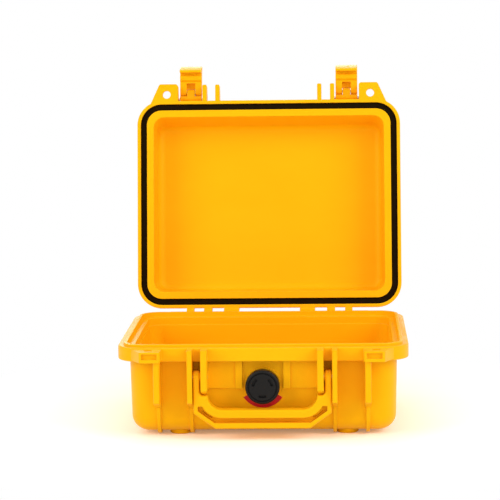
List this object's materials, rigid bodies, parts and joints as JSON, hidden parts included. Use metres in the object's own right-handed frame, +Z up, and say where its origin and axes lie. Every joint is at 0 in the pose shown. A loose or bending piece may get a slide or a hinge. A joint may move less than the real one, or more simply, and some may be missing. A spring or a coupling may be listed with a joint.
{
  "type": "protective case",
  "caption": "Hinged protective hard case with ribbed moulded walls, a sealing gasket, double-throw latches, a folding handle, padlock lugs and a pressure valve.",
  "frame": {"origin": "middle of the open case's box in plan, at the floor under the feet", "axes": "+X to the right as seen from the front, +Y to the back where the hinges are, +Z up"},
  "size_m": [0.27, 0.315, 0.3322],
  "materials": {
    "shell_yellow": "fine satin moulding",
    "gasket_rubber": "matt",
    "valve_black": "satin",
    "tag_red": "satin",
    "membrane_white": "matt",
    "pin_steel": "ground"
  },
  "bodies": {
    "base": {"base_shell": "shell_yellow", "hinge_pin_left": "pin_steel", "hinge_pin_right": "pin_steel", "handle_pin_left": "pin_steel", "handle_pin_right": "pin_steel", "valve_body": "valve_black", "valve_washer": "gasket_rubber", "valve_nut": "valve_black", "valve_o_ring": "gasket_rubber", "valve_membrane": "membrane_white", "valve_tag": "tag_red"},
    "lid": {"lid_shell": "shell_yellow", "lid_gasket": "gasket_rubber", "latch_pin_left": "pin_steel", "latch_pin_right": "pin_steel"},
    "latch_link_left": {"latch_link_left": "shell_yellow"},
    "latch_link_right": {"latch_link_right": "shell_yellow"},
    "latch_lever_left": {"latch_lever_left": "shell_yellow", "lever_pin_left": "pin_steel"},
    "latch_lever_right": {"latch_lever_right": "shell_yellow", "lever_pin_right": "pin_steel"},
    "handle": {"handle": "shell_yellow"},
    "valve_knob": {"valve_knob": "valve_black"}
  },
  "joints": [
    {"name": "lid_hinge", "type": "hinge", "parent": "base", "child": "lid", "pos_m": [0, 0.08156, 0.081], "axis": [-1, 0, 0], "range_deg": [-100, 0]},
    {"name": "latch_link_left_swing", "type": "hinge", "parent": "lid", "child": "latch_link_left", "pos_m": [-0.0804, 0.13789, 0.29913], "axis": [-1, 0, 0], "range_deg": [-90, 60]},
    {"name": "latch_lever_left_swing", "type": "hinge", "parent": "latch_link_left", "child": "latch_lever_left", "pos_m": [-0.0804, 0.14257, 0.30552], "axis": [-1, 0, 0], "range_deg": [0, 38]},
    {"name": "latch_link_right_swing", "type": "hinge", "parent": "lid", "child": "latch_link_right", "pos_m": [0.0804, 0.13789, 0.29913], "axis": [-1, 0, 0], "range_deg": [-90, 60]},
    {"name": "latch_lever_right_swing", "type": "hinge", "parent": "latch_link_right", "child": "latch_lever_right", "pos_m": [0.0804, 0.14257, 0.30552], "axis": [-1, 0, 0], "range_deg": [0, 38]},
    {"name": "handle_swing", "type": "hinge", "parent": "base", "child": "handle", "pos_m": [0, -0.14474, 0.059], "axis": [-1, 0, 0], "range_deg": [0, 100]},
    {"name": "valve_turn", "type": "hinge", "parent": "base", "child": "valve_knob", "pos_m": [0, -0.13924, 0.0488], "axis": [0, -1, 0], "range_deg": [0, 90]}
  ]
}
